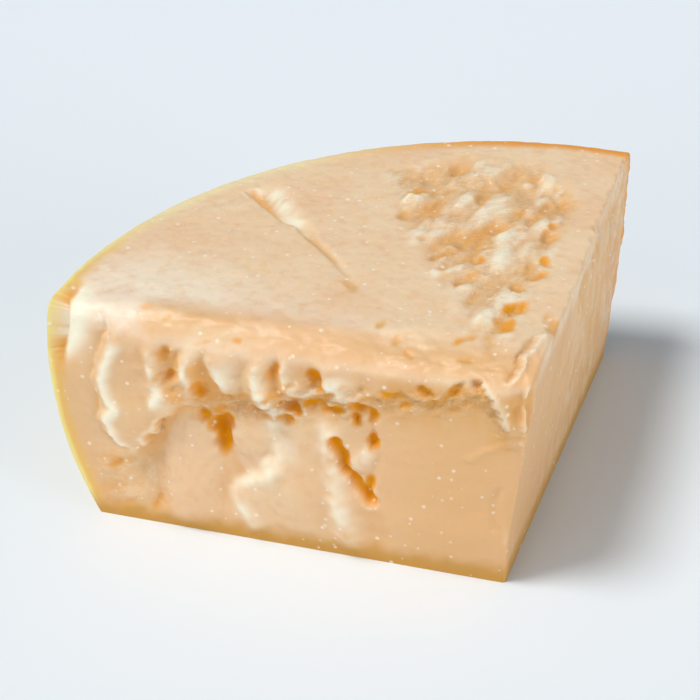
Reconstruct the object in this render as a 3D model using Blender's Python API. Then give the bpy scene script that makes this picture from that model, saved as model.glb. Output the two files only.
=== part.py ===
"""Hard cheese chunk: an eighth of a wheel, split level and then broken into quarters by hand.

The wheel's axis runs up the chunk's inner corner. The curved back is the waxy rind, bellied
like a barrel, and the flat underside is rind too. The top and both side faces are broken paste.
The chunk is the space under the top, inside both side faces and inside the rind. Each of those
is a height field over its own flat face, so its shells, lip, cracks and ridges are functions of
two lengths measured on that face. The chunk stands on its underside, with the origin at the
bottom centre of its box, its longest side along X and its inner corner towards -Y.
"""
import math

import bmesh
import bpy
import numpy as np
from mathutils import Vector

MM = 0.001

# Driving dimensions.
WHEEL_RADIUS = 210.0 * MM
CHUNK_HEIGHT = 113.8 * MM
WEDGE_ANGLE = math.radians(95.0)
BELLY_HEIGHT = 0.70 * CHUNK_HEIGHT
BELLY_DROP = 36.0 * MM
EDGE_ROUNDING = 2.0 * MM

# The top's front edge is rolled down, less so by the rind: the drop, and where the roll starts.
SHOULDER_DROP = 11.0 * MM
SHOULDER_REACH = 26.0 * MM
SHOULDER_WAVE = 22.0 * MM

# Outward lean of the right face at the top of the inner corner, and its ribs farther out.
RIGHT_LEAN = 6.0 * MM
RIB_HEIGHT = 1.2 * MM
RIB_SPACING = 11.0 * MM

# Front face: how far along it the upper band and the broken hollow reach from the inner corner.
BAND_END = 184.0 * MM
HOLLOW_START = 59.0 * MM
HOLLOW_DEPTH = 5.0 * MM
PANEL_HEIGHT = 2.0 * MM
EDGE_BLEND = 4.0 * MM
STRAIGHT_FOOT = 10.0 * MM
ROUGH_HEIGHT = 1.4 * MM
ROUGH_CELL = 12.0 * MM
WARP = 2.2 * MM
WARP_CELL = 16.0 * MM

# Lip of the front face's upper band, from the rind to the inner corner: place along the face and
# height (mm). Above it the paste stands proud, and below it a slab has come away.
LIP = (
    (188, 42), (176, 41), (160, 50), (150, 64), (128, 70), (108, 76),
    (90, 87), (62, 88), (34, 96), (20, 103), (4, 86),
)
LIP_HEIGHT = 6.0 * MM
LIP_WALL = 7.0 * MM

# Shells broken out of a face: place along, place up, half width, half height, depth (all mm),
# turn (degrees, anticlockwise seen from outside) and how steep the wall is (2 dish, 4 pan).
UPPER_SHELLS = (
    (171, 84, 15, 46, 5, -3, 2),
    (151, 88, 12, 30, 6, 6, 2),
    (135, 92, 9, 26, 5, 8, 2),
    (121, 90, 12, 22, 5, -4, 2),
    (104, 92, 10, 18, 5, 4, 2),
    (88, 94, 10, 14, 8, 12, 2),
    (71, 93, 13, 16, 5, -4, 2),
    (46, 95, 20, 10, 4, 0, 2),
)
LOWER_SHELLS = (
    (172, 56, 14, 15, 9, 10, 2),
    (147, 38, 14, 33, 9, -4, 3),
    (131, 54, 10, 20, 14, -10, 2),
    (117, 58, 13, 21, 9, 4, 3),
    (92, 40, 14, 50, 6, 2, 2),
    (68, 60, 14, 36, 9, -8, 4),
    (183, 26, 16, 16, 4, -30, 2),
)
# A rounded knob left standing under the lip: along, up, radius and height (mm).
FRONT_KNOB = (119, 55, 11, 6)

# Long cracks and ridges: width and height (mm, a crack's is negative), then their points.
FRONT_LINES = (
    (7, -6, ((76, 62), (70, 48), (61, 36))),
    (7, 4, ((108, 80), (104, 60), (116, 36), (126, 26), (118, 14))),
    (7, 3, ((82, 68), (79, 40), (75, 14))),
    (6, 3, ((16, 109), (6, 86))),
)
RIGHT_LINES = (
    (8, -6, ((8, 104), (9, 86))),
)

# Rough patch in the top: its left edge at the front, how that edge slants, its front edge, its
# margins from the rind and from the right face, and how soft its rim is.
PATCH_LEFT = 6.0 * MM
PATCH_SLANT = 0.15
PATCH_FRONT = 20.0 * MM
PATCH_RIND_MARGIN = 30.0 * MM
PATCH_SIDE_MARGIN = 16.0 * MM
PATCH_RIM = 9.0 * MM
PATCH_GRAIN = 2.0 * MM
GRAIN_CELL = 9.0 * MM
GRAIN_TURN = math.radians(24.0)

# Shells in the top: places X and Y from the wheel's axis, with X to the right.
TOP_SHELLS = (
    (60, 160, 28, 14, 6, 15, 2),
    (32, 142, 18, 14, 5, 20, 2),
    (62, 134, 20, 12, 5, 25, 2),
    (82, 142, 15, 14, 4, 60, 2),
    (84, 116, 16, 11, 4, 40, 2),
    (42, 102, 28, 10, 5, 16, 2),
    (26, 78, 20, 10, 5, 22, 2),
    (64, 88, 22, 9, 5, 36, 2),
    (46, 64, 20, 9, 5, 28, 2),
    (24, 44, 18, 9, 5, 38, 2),
)
# A curled flake beside the inner corner.
TOP_LINES = (
    (7, 4, ((0, 4), (22, 16))),
)

# The long split in the top: it starts at the rind and runs in towards the inner corner.
SPLIT_X = -30.0 * MM
SPLIT_START = 188.0 * MM
SPLIT_TAPER = 30.0 * MM
SPLIT_END = 78.0 * MM
SPLIT_DEPTH = 4.0 * MM
SPLIT_WALL = 4.0 * MM
SPLIT_SLOPE = 17.0 * MM
SPLIT_THIN = 0.3

# Mesh: cells along each straight side and up the height, where the rays start, how far past the
# flat faces they search, and how often each search is halved.
SIDE_CELLS = 36
HEIGHT_CELLS = 19
CORE_INSET = 24.0 * MM
RAY_REACH = 9.0 * MM
RAY_HALVINGS = 13
WELD = 0.02 * MM

HALF_ANGLE = WEDGE_ANGLE / 2
LEFT_ALONG = np.array([-math.sin(HALF_ANGLE), math.cos(HALF_ANGLE), 0.0])
LEFT_OUT = np.array([-math.cos(HALF_ANGLE), -math.sin(HALF_ANGLE), 0.0])
RIGHT_ALONG = np.array([math.sin(HALF_ANGLE), math.cos(HALF_ANGLE), 0.0])
RIGHT_OUT = np.array([math.cos(HALF_ANGLE), -math.sin(HALF_ANGLE), 0.0])


def blend(start, end, value):
    """0 before start, 1 after end, and a smooth S between them. Start may be the larger."""
    ramp = np.clip((value - start) / (end - start), 0.0, 1.0)
    return ramp * ramp * (3.0 - 2.0 * ramp)


def beyond(edge, softness, value):
    """0 well below an edge and 1 well above it, changing over twice the softness."""
    return blend(edge - softness, edge + softness, value)


def soft_max(first, second, rounding):
    """The larger of two, with the corner between them rounded off."""
    near = np.maximum(rounding - np.abs(first - second), 0.0)
    return np.maximum(first, second) + near * near / (4.0 * rounding)


def lattice_noise(places, cell, seed):
    """Smooth noise from -1 to 1: a seeded value at each corner of a cubic lattice, blended."""
    scaled = places / cell + 100.0
    low = np.floor(scaled).astype(np.int64)
    part = scaled - low
    part = part * part * (3.0 - 2.0 * part)
    total = np.zeros(len(places))
    for corner in range(8):
        step = np.array([corner & 1, (corner >> 1) & 1, corner >> 2])
        spot = low + step
        mixed = spot[:, 0] * 73856093 ^ spot[:, 1] * 19349663 ^ spot[:, 2] * 83492791 ^ seed * 2654435761
        mixed = (mixed ^ (mixed >> 13)) * 1274126177 & 0x7FFFFFFF
        weight = np.prod(np.where(step == 1, part, 1.0 - part), axis=1)
        total += weight * ((mixed ^ (mixed >> 11)) % 20011 / 10005.0 - 1.0)
    return total


def shell_depth(along, up, shell):
    """How deep one shell cuts the face: full depth in its middle, none at its oval rim."""
    centre_a, centre_u, half_a, half_u, depth, turn, steep = shell
    angle = math.radians(turn)
    side = along - centre_a * MM
    rise = up - centre_u * MM
    across = (side * math.cos(angle) + rise * math.sin(angle)) / (half_a * MM)
    upward = (rise * math.cos(angle) - side * math.sin(angle)) / (half_u * MM)
    return depth * MM * (1.0 - np.hypot(across, upward) ** steep)


def path_distance(along, up, points):
    """Distance on the face to a line through the given points."""
    nearest = np.full(along.shape, WHEEL_RADIUS)
    for (a0, u0), (a1, u1) in zip(points, points[1:]):
        run_a = (a1 - a0) * MM
        run_u = (u1 - u0) * MM
        off_a = along - a0 * MM
        off_u = up - u0 * MM
        share = np.clip((off_a * run_a + off_u * run_u) / (run_a ** 2 + run_u ** 2), 0.0, 1.0)
        nearest = np.minimum(nearest, np.hypot(off_a - share * run_a, off_u - share * run_u))
    return nearest


def shell_height(along, up, shells):
    """Height of a face cut by shells: the deepest one at each place, and never above the face."""
    height = np.zeros(along.shape)
    for shell in shells:
        height = np.minimum(height, -shell_depth(along, up, shell))
    return height


def line_height(along, up, lines):
    """Height added by cracks and ridges, each fading out across its own width."""
    height = np.zeros(along.shape)
    for width, rise, points in lines:
        across = np.clip(path_distance(along, up, points) / (width * MM), 0.0, 1.0)
        height = height + rise * MM * (1.0 - across ** 2) ** 2
    return height


def warped(along, up, places):
    """The same two lengths, pushed about by noise so that no rim stays a true oval."""
    return (
        along + WARP * lattice_noise(places, WARP_CELL, 21),
        up + WARP * lattice_noise(places, WARP_CELL, 22),
    )


def knob_height(along, up, knob):
    """Height of a rounded knob, half as tall again as it is wide."""
    centre_a, centre_u, radius, rise = knob
    reach = np.hypot(along - centre_a * MM, (up - centre_u * MM) / 1.5) / (radius * MM)
    return rise * MM * np.sqrt(np.clip(1.0 - reach ** 2, 0.0, 1.0))


def front_height(places):
    """Left face, seen from outside: a scalloped proud band above the lip, a hollow face below it."""
    along, up = warped(places @ LEFT_ALONG, places[:, 2], places)
    lip_along = np.array([spot[0] for spot in reversed(LIP)]) * MM
    lip_up = np.array([spot[1] for spot in reversed(LIP)]) * MM
    over_lip = beyond(0.0, LIP_WALL / 2, up - np.interp(along, lip_along, lip_up))
    in_band = 1.0 - beyond(BAND_END, EDGE_BLEND, along)
    in_hollow = beyond(HOLLOW_START, EDGE_BLEND, along) * in_band
    upper = LIP_HEIGHT / 2 * in_band + shell_height(along, up, UPPER_SHELLS)
    hollow = HOLLOW_DEPTH * in_hollow * blend(0.0, CHUNK_HEIGHT / 2, up)
    lower = np.minimum(-hollow, shell_height(along, up, LOWER_SHELLS))
    lower = lower + knob_height(along, up, FRONT_KNOB)
    lower = lower + PANEL_HEIGHT * (1.0 - beyond(HOLLOW_START, EDGE_BLEND, along))
    height = lower + (upper - lower) * over_lip + line_height(along, up, FRONT_LINES)
    height = height + ROUGH_HEIGHT * in_hollow * lattice_noise(places, ROUGH_CELL, 3)
    return height * blend(0.0, STRAIGHT_FOOT, places[:, 2])


def right_height(places):
    """Right face: it leans out at the top by the inner corner and is ribbed farther out."""
    along = places @ RIGHT_ALONG
    up = places[:, 2]
    lean = RIGHT_LEAN * blend(0.1 * CHUNK_HEIGHT, 0.9 * CHUNK_HEIGHT, up)
    lean = lean * blend(0.9 * WHEEL_RADIUS, 0.15 * WHEEL_RADIUS, along)
    ribs = RIB_HEIGHT * blend(0.2 * WHEEL_RADIUS, 0.6 * WHEEL_RADIUS, along)
    ribs = ribs * blend(0.2 * CHUNK_HEIGHT, 0.7 * CHUNK_HEIGHT, up)
    stretched = places * np.array([1.0, 1.0, 0.35])
    return line_height(along, up, RIGHT_LINES) + lean + ribs * lattice_noise(stretched, RIB_SPACING, 5)


def patch_height(right, back, places):
    """Rough patch in the top: overlapping shells and slanting grain inside a soft outline."""
    inside = beyond(PATCH_LEFT, PATCH_RIM, right - PATCH_SLANT * back)
    inside = inside * beyond(PATCH_FRONT, PATCH_RIM, back)
    inside = inside * beyond(PATCH_SIDE_MARGIN, PATCH_RIM, -(places @ RIGHT_OUT))
    inside = inside * (1.0 - beyond(WHEEL_RADIUS - PATCH_RIND_MARGIN, PATCH_RIM, np.hypot(right, back)))
    with_grain = right * math.cos(GRAIN_TURN) + back * math.sin(GRAIN_TURN)
    over_grain = back * math.cos(GRAIN_TURN) - right * math.sin(GRAIN_TURN)
    grain_places = np.stack([with_grain / 2, over_grain, places[:, 2]], axis=1)
    grain = PATCH_GRAIN * (lattice_noise(grain_places, GRAIN_CELL, 7) - 0.4)
    return inside * (shell_height(right, back, TOP_SHELLS) + line_height(right, back, TOP_LINES) + grain)


def split_height(right, back):
    """The long split: a steep wall on its left, a slope on its right that narrows inwards."""
    fade = blend(SPLIT_END, SPLIT_START - SPLIT_TAPER, back)
    fade = fade * blend(SPLIT_START + SPLIT_WALL, SPLIT_START, back)
    width = SPLIT_THIN + (1.0 - SPLIT_THIN) * fade
    wall = blend(SPLIT_X - SPLIT_WALL, SPLIT_X, right)
    slope = 1.0 - blend(SPLIT_X, SPLIT_X + SPLIT_SLOPE * width, right)
    return -SPLIT_DEPTH * width * fade * wall * slope


def top_height(places):
    """Top: a smooth left half, a long split, a rough patch at the right and a rolled front edge."""
    right, back = warped(places[:, 0], places[:, 1], places)
    roll = np.clip(1.0 + places @ LEFT_OUT / SHOULDER_REACH, 0.0, 1.5) ** 2
    roll = roll * blend(WHEEL_RADIUS, 0.75 * WHEEL_RADIUS, np.hypot(places[:, 0], places[:, 1]))
    wave = 1.0 + 0.2 * lattice_noise(places * np.array([1.0, 1.0, 0.0]), SHOULDER_WAVE, 11)
    return patch_height(right, back, places) + split_height(right, back) - SHOULDER_DROP * roll * wave


def rind_radius(up):
    """The barrel side: widest at the belly, drawn in to the flat underside."""
    return WHEEL_RADIUS - BELLY_DROP * ((up - BELLY_HEIGHT) / CHUNK_HEIGHT) ** 2


def outside_by(places):
    """How far a place lies outside the chunk, and less than zero where it lies inside it."""
    top = places[:, 2] - CHUNK_HEIGHT - top_height(places)
    front = places @ LEFT_OUT - front_height(places)
    right = places @ RIGHT_OUT - right_height(places)
    rind = np.hypot(places[:, 0], places[:, 1]) - rind_radius(places[:, 2])
    sides = soft_max(front, right, EDGE_ROUNDING)
    return soft_max(soft_max(sides, top, EDGE_ROUNDING), rind, EDGE_ROUNDING)


def core_point(places):
    """The nearest point of a smaller wedge set inside the chunk by CORE_INSET."""
    core = places.copy()
    for out in (LEFT_OUT, RIGHT_OUT):
        short = np.maximum(CORE_INSET + core @ out, 0.0)
        core -= short[:, None] * out
    radius = np.hypot(core[:, 0], core[:, 1])
    shrink = np.minimum(1.0, (rind_radius(0.0) - CORE_INSET) / radius)
    core[:, :2] *= shrink[:, None]
    core[:, 2] = np.minimum(core[:, 2], CHUNK_HEIGHT - CORE_INSET)
    return core


def settle(places):
    """Slide each point along its ray from the core until it lies on the broken surface."""
    core = core_point(places)
    ray = places - core
    length = np.linalg.norm(ray, axis=1)
    ray /= length[:, None]
    near = np.zeros(len(places))
    far = length + RAY_REACH
    for _ in range(RAY_HALVINGS):
        middle = (near + far) / 2
        outside = outside_by(core + middle[:, None] * ray) > 0
        far = np.where(outside, middle, far)
        near = np.where(outside, near, middle)
    return core + ((near + far) / 2)[:, None] * ray


def sector_point(across, deep):
    """A place in the unit sector from its two grid shares, each from 0 to 1."""
    flat_x = across * np.sqrt(1.0 - deep ** 2 / 2)
    flat_y = deep * np.sqrt(1.0 - across ** 2 / 2)
    angle = np.arctan2(flat_y, flat_x) * WEDGE_ANGLE / (math.pi / 2) + math.pi / 2 - HALF_ANGLE
    radius = np.hypot(flat_x, flat_y)
    return radius * np.cos(angle), radius * np.sin(angle)


def add_sheet(mesh, flat_x, flat_y, height):
    """Settle a grid of places onto the broken surface and add it as four-sided faces."""
    places = np.stack([flat_x, flat_y, height], axis=-1)
    sheet = settle(places.reshape(-1, 3)).reshape(places.shape)
    corners = [[mesh.verts.new(Vector(spot)) for spot in line] for line in sheet]
    for low_line, high_line in zip(corners, corners[1:]):
        for column in range(len(low_line) - 1):
            low_pair = low_line[column:column + 2]
            high_pair = high_line[column:column + 2]
            mesh.faces.new(low_pair + high_pair[::-1])


def chunk_mesh():
    """Top, two side faces and rind as four sheets, welded, with the flat underside filled in."""
    shares = np.linspace(0.0, 1.0, SIDE_CELLS + 1)
    deep, across = np.meshgrid(shares, shares, indexing="ij")
    sector_x, sector_y = sector_point(across, deep)
    top_radius = rind_radius(CHUNK_HEIGHT)
    mesh = bmesh.new()
    add_sheet(mesh, sector_x * top_radius, sector_y * top_radius, np.full(deep.shape, CHUNK_HEIGHT))
    arc_x = np.concatenate([sector_x[:-1, -1], sector_x[-1, ::-1]])
    arc_y = np.concatenate([sector_y[:-1, -1], sector_y[-1, ::-1]])
    rise = np.linspace(0.0, CHUNK_HEIGHT, HEIGHT_CELLS + 1)[:, None]
    for line_x, line_y in ((sector_x[0], sector_y[0]), (sector_x[:, 0], sector_y[:, 0]), (arc_x, arc_y)):
        radius = rind_radius(rise)
        add_sheet(mesh, radius * line_x, radius * line_y, np.repeat(rise, len(line_x), axis=1))
    bmesh.ops.remove_doubles(mesh, verts=mesh.verts, dist=WELD)
    low_ring = [edge for edge in mesh.edges if edge.is_boundary]
    bmesh.ops.holes_fill(mesh, edges=low_ring, sides=0)
    bmesh.ops.recalc_face_normals(mesh, faces=mesh.faces)
    return mesh


def stand_on_origin(mesh):
    """Move the chunk so that the origin is the bottom centre of its box."""
    places = np.array([vert.co for vert in mesh.verts])
    middle = (places.min(axis=0) + places.max(axis=0)) / 2
    bmesh.ops.translate(mesh, verts=mesh.verts, vec=Vector((-middle[0], -middle[1], 0.0)))


def paste_material():
    """Pale hard paste: a creamy straw colour with a faint waxy sheen."""
    material = bpy.data.materials.new("hard_cheese_paste")
    material.use_nodes = True
    shader = material.node_tree.nodes["Principled BSDF"]
    shader.inputs["Base Color"].default_value = (0.81, 0.56, 0.33, 1.0)
    shader.inputs["Roughness"].default_value = 0.5
    shader.inputs["Metallic"].default_value = 0.0
    return material


def build():
    """Clear the scene and add the chunk."""
    for thing in list(bpy.data.objects):
        bpy.data.objects.remove(thing)
    mesh = chunk_mesh()
    stand_on_origin(mesh)
    data = bpy.data.meshes.new("parmesan_chunk")
    mesh.to_mesh(data)
    mesh.free()
    data.materials.append(paste_material())
    data.shade_smooth()
    data.set_sharp_from_angle(angle=math.radians(35))
    chunk = bpy.data.objects.new("parmesan_chunk", data)
    bpy.context.collection.objects.link(chunk)


build()
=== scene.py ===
"""Aged hard cheese chunk: an eighth of a wheel, broken by hand, standing on its flat rind.

The fine body replaces the plain solid. It is the space under the broken top, inside the two
broken side faces and inside the barrel of the rind. Each of those is a height field, in mm
measured on its own flat face, so the lip, shells, cracks, ridges and grain are functions of two
lengths. Every point of a four-sheet wedge slides along a ray until it lies on that surface.
"""
import math

import bpy
import numpy as np
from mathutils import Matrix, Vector


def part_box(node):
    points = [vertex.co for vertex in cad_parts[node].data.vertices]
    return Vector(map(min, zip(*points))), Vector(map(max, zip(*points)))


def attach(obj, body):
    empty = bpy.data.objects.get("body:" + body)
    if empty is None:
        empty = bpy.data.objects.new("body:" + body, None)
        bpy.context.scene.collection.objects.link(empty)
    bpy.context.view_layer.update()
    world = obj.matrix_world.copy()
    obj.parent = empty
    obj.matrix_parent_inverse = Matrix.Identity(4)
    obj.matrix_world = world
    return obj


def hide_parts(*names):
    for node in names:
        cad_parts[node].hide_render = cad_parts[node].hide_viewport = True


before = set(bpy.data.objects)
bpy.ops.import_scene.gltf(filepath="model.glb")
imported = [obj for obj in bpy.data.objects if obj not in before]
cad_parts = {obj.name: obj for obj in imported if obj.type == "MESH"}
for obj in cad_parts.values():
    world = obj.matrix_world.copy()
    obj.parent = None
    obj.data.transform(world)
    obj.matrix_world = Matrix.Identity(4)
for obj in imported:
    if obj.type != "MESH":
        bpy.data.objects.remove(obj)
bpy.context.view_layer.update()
MM = 0.001

# ---- the wheel and its wedge

WHEEL_RADIUS = 210.0 * MM
WEDGE_ANGLE = math.radians(95.0)
HALF_ANGLE = WEDGE_ANGLE / 2
CHUNK_LOW, CHUNK_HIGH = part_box("parmesan_chunk")
CHUNK_HEIGHT = 113.8 * MM
BELLY_HEIGHT = 0.70 * CHUNK_HEIGHT
BELLY_DROP = 36.0 * MM

# The wheel's axis: its inner corner. The rind's belly touches the back of the box.
AXIS = np.array([(CHUNK_LOW.x + CHUNK_HIGH.x) / 2, CHUNK_HIGH.y - WHEEL_RADIUS, 0.0])

LEFT_ALONG = np.array([-math.sin(HALF_ANGLE), math.cos(HALF_ANGLE), 0.0])
LEFT_OUT = np.array([-math.cos(HALF_ANGLE), -math.sin(HALF_ANGLE), 0.0])
RIGHT_ALONG = np.array([math.sin(HALF_ANGLE), math.cos(HALF_ANGLE), 0.0])
RIGHT_OUT = np.array([math.cos(HALF_ANGLE), -math.sin(HALF_ANGLE), 0.0])

EDGE_ROUNDING = 1.6 * MM
FRONT_ROUNDING = 5.0 * MM
RIND_ROUNDING = 1.2 * MM
SHOULDER_DROP = 6.0 * MM
SHOULDER_REACH = 11.0 * MM
SHOULDER_SLOW = 14.0 * MM
RIGHT_LEAN = 6.0 * MM

# Edges on the front face, all in mm as (height up the face, place along it) from the foot up: the
# left edge of the proud upper block, the long step down the middle, and the smooth flat panel.
MASS_EDGE = (
    (36, 177), (42, 181), (50, 186), (56, 188), (64, 185), (76, 189), (86, 186), (98, 181), (112, 180),
)
CLIFF_EDGE = (
    (4, 119), (12, 123), (20, 127), (27, 127), (34, 121), (42, 113), (50, 108), (62, 107), (80, 110),
)
PANEL_EDGE = ((26, 60), (40, 59), (60, 58), (75, 60), (88, 59))
PANEL_FOOT = 18.0 * MM
PANEL_HEIGHT = 1.0 * MM
HOLLOW_DEPTH = 4.5 * MM
CLIFF_HEIGHT = 4.5 * MM
STRAIGHT_FOOT = 9.0 * MM

# Lip under the proud upper block, from the rind to the inner corner: along the face and up (mm).
LIP = (
    (190, 39), (176, 40), (167, 42), (161, 49), (158, 57), (150, 65), (143, 69), (134, 70),
    (126, 72), (118, 75), (111, 76), (105, 79), (97, 82), (88, 86), (80, 87), (73, 84),
    (65, 87), (57, 89), (48, 92), (38, 95), (30, 96), (20, 100), (13, 98), (8, 91), (3, 84),
)

# Soft swells and hollows: place along, place up, half width, half height, rise (mm, less than zero
# for a hollow) and turn (degrees, anticlockwise seen from outside).
UPPER_SWELLS = (
    (151, 90, 8, 22, -3, -6), (154, 98, 4, 6, -2, 0), (151, 86, 3, 4, -1.8, 0),
    (155, 78, 3, 3, -1, 0), (135, 88, 7, 18, -3, -8), (121, 92, 11, 18, -1.5, 4),
    (128, 77, 16, 10, -3.5, 0), (138, 79, 5, 6, -3, 20), (103, 96, 7, 12, -2.2, 0),
    (104, 96, 3, 5, -1.6, 0), (91, 93, 9, 14, -2, -10), (86, 96, 4.2, 7, -4.2, -14),
    (83, 91, 2.6, 3, -2.4, 0), (72, 96, 12, 14, -1, 0), (58, 88, 8, 3, -2.8, 8),
    (50, 93, 9, 3, -2, 8), (38, 99, 4, 3, -3, 20), (35, 93, 2.6, 4, -2.6, 20),
    (26, 101, 5, 3, -3.5, -12), (22, 98, 3, 2.5, -2.5, 0), (17, 102, 6, 4.2, -5, -20),
    (11, 96, 2.4, 8, -3.4, -35), (170, 56, 18, 20, 1.2, 15), (-1, 98, 4.5, 14, -2.6, 0),
)
LOWER_SWELLS = (
    (147, 34, 17, 42, 5, 0), (131.5, 60, 8, 6.5, -4.5, -12), (130.5, 52, 4.5, 12, -4, 8),
    (139, 64, 4, 3, -2, -30), (117, 54, 11, 20, 4.5, 0), (105, 81, 3, 4, -3.5, 0),
    (98, 79, 6.5, 3.6, -4.5, 10), (101, 72, 5, 3, -2.4, 0), (88, 82, 7, 3, -2, 0),
    (79, 81, 6, 3, -3, 0), (69, 76, 3, 5, -3.2, -20), (67, 83, 6, 2.6, -3.2, 0),
    (61.5, 66, 3, 5.5, -3.6, 0), (61.5, 79, 2.4, 6, -2.4, 0), (61.5, 42, 3, 11, -2.6, 0),
    (66, 58, 6, 9, 1.8, 20), (64, 17, 12, 20, -1.6, 0), (93, 45, 14, 40, 2, 0),
    (172, 22, 20, 22, -1.4, 0), (183, 31, 3, 4, -1.4, 40), (164, 13, 2.4, 6, -1.2, 10),
    (30, 40, 40, 44, 1.5, 0),
)

# Folds of the front face: width of the steep left flank, width of the slow right flank and rise
# (mm), then the fold's line as (height up, place along).
UPPER_FOLDS = (
    (2.5, 8, 2.4, ((64, 162), (72, 159), (85, 158), (106, 160))),
    (3, 6, 3.2, ((80, 148), (88, 144), (96, 141), (112, 139))),
    (2.5, 10, 2.2, ((78, 125), (82, 128), (90, 130), (106, 131))),
    (3.5, 6, 3.6, ((72, 108), (85, 110), (95, 112), (112, 112))),
    (2.5, 5, 2.6, ((84, 96), (90, 97), (98, 99), (110, 99))),
    (2, 12, 1.8, ((84, 79), (92, 80), (108, 81))),
    (3, 5, 4, ((86, 5), (92, 7), (99, 10), (106, 13), (112, 17))),
)
LOWER_FOLDS = (
    (4, 6, 2.6, ((5, 73), (20, 75), (38, 78), (50, 80), (72, 82))),
    (5, 6, 2.8, ((34, 113), (42, 107), (50, 104), (58, 104), (68, 106), (80, 108), (90, 110))),
    (4, 6, 1.8, ((5, 116), (12, 119), (20, 123), (27, 124), (34, 118), (42, 110))),
)
MASS_FOLD = (3, 3.5, 1.5, (
    (38, 174), (44, 178), (50, 182), (56, 184), (64, 181), (76, 185), (86, 182), (98, 177), (110, 176),
))

# Cracks: width and height (mm, less than zero), then their points along and up.
FRONT_LINES = (
    (4, -4, ((78, 65), (74, 58), (72, 50), (66, 42), (61, 35))),
    (2.4, 0.6, ((17, 66), (6, 75), (0, 82))),
    (2.8, -0.8, ((5, 52), (7, 38), (3, 28))),
)

# The front top corner has come away from the rind: the rind slab's thickness, the drop behind it,
# how wide the slope is, and where up the face it starts.
SLAB = 4.5 * MM
SLAB_GAP = 4.0 * MM
SLAB_SLOPE = 22.0 * MM
SLAB_FOOT = 76.0 * MM

# Swells and hollows of the top, at places X and Y from the wheel's axis, with X to the right.
TOP_SWELLS = (
    (58, 164, 28, 12, -2.5, 12), (49, 162, 7, 9, -2, -20), (68, 165, 5, 6, -2, 0),
    (39, 153, 7, 4, -2.2, 15), (23, 136, 6, 5, -2.5, 60), (42, 138, 7, 3, -1.5, 0),
    (63, 134, 8, 4.5, -2.2, 45), (88, 128, 17, 30, -4, 10), (91, 137, 4, 4, 2, 30),
    (86, 114, 6, 3.5, -2, 30), (56, 104, 9, 3, -2.6, 15), (33, 102, 6, 4, -2.2, 45),
    (20, 96, 9, 3, -2.6, 20), (30, 85, 5, 4, -2.6, 30), (41, 92, 4, 2.5, -1.8, 0),
    (18, 73, 10, 3.8, -3, 28), (70, 88, 6, 4, -2.6, 50), (77, 94, 4, 3, -1.8, 40),
    (58, 69, 3.5, 5.5, -2.8, -20), (47, 60, 8, 3.5, -3, 5), (34, 56, 4.5, 3.5, -3, 50),
    (24, 42, 10, 4.5, -3, 20), (12, 33, 7, 5, -2.8, 40), (30, 24, 3.5, 9, -2.2, -15),
    (-6, 31, 5, 2, -1.4, 5), (53, 96, 13, 5, 2.5, 42), (40, 80, 15, 6, 2.5, 38),
    (15, 83, 12, 5, 2, 15), (20, 116, 12, 6, 1.8, 45), (32, 146, 9, 3, 1.8, 5),
    (6, 55, 14, 8, 1.5, 40), (8, 42, 10, 5, 2, 55), (100, 130, 6, 22, 1.8, -6),
    (-31, 37, 2.4, 3.4, -1.6, 30), (-31, 46, 2.6, 2.2, -1.5, -30), (-33, 56, 2.5, 3, -1.2, 0),
    (-30, 90, 3, 8, -0.8, 0), (-14, 21, 5, 2, -1.2, 0),
)
TOP_LINES = (
    (3, 2, ((-4, 0), (8, 7), (24, 17))),
    (2.6, -1.6, ((-1, 4), (9, 11), (20, 18))),
)
RIGHT_SWELLS = (
    (1, 97, 4.5, 14, -2.6, 0), (130, 96, 30, 14, 1.5, 0), (180, 90, 16, 14, -2.5, 0),
    (92, 100, 12, 10, -1.5, 0),
)

# Rough patch in the top: left edge and its slant, front edge, margins, how soft its rim is, and
# how high its streaks stand. WEAR is how much of their rise the top's swells and hollows keep.
PATCH_LEFT = -6.0 * MM
PATCH_SLANT = 0.22
PATCH_FRONT = 16.0 * MM
PATCH_RIGHT = 104.0 * MM
PATCH_RIND_MARGIN = 26.0 * MM
PATCH_SIDE_MARGIN = 11.0 * MM
PATCH_RIM = 7.0 * MM
STREAK_HEIGHT = 1.4 * MM
WEAR = 0.6

# Which way the flakes of the front face and the grain of the top run.
FLAKE_RUN = (math.sin(HALF_ANGLE), -math.cos(HALF_ANGLE), 0.55)
GRAIN_RUN = (1.0, 0.6, 0.0)

# The long split in the top, from its thin inner end to the rind, in mm as (place Y, place X).
SPLIT = ((80, -29), (100, -27), (120, -27), (148, -28), (155, -31), (175, -33), (190, -34))
SPLIT_START = 189.0 * MM
SPLIT_END = 70.0 * MM
SPLIT_DEPTH = 4.0 * MM
SPLIT_WALL = 1.6 * MM
SPLIT_SLOPE = 18.0 * MM
SPLIT_THIN = 0.22

# Mesh: cells along each straight side and up the height, and the search along each ray.
SIDE_CELLS = 172
HEIGHT_CELLS = 98
ROW_CROWDING = 0.12
NEAR_ROUNDS = 16
FAR_ROUNDS = 130
CORE_INSET = 24.0 * MM
RAY_REACH = 10.0 * MM
RAY_HALVINGS = 13
WELD = 0.02 * MM
SHARP_ANGLE = math.radians(70)
RIND_FACE_DEPTH = 0.5 * MM
UNDERSIDE_HEIGHT = 0.01 * MM


def blend(start, end, value):
    """0 before start, 1 after end, and a smooth S between them. Start may be the larger."""
    ramp = np.clip((value - start) / (end - start), 0.0, 1.0)
    return ramp * ramp * (3.0 - 2.0 * ramp)


def beyond(edge, softness, value):
    """0 well below an edge and 1 well above it, changing over twice the softness."""
    return blend(edge - softness, edge + softness, value)


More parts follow.
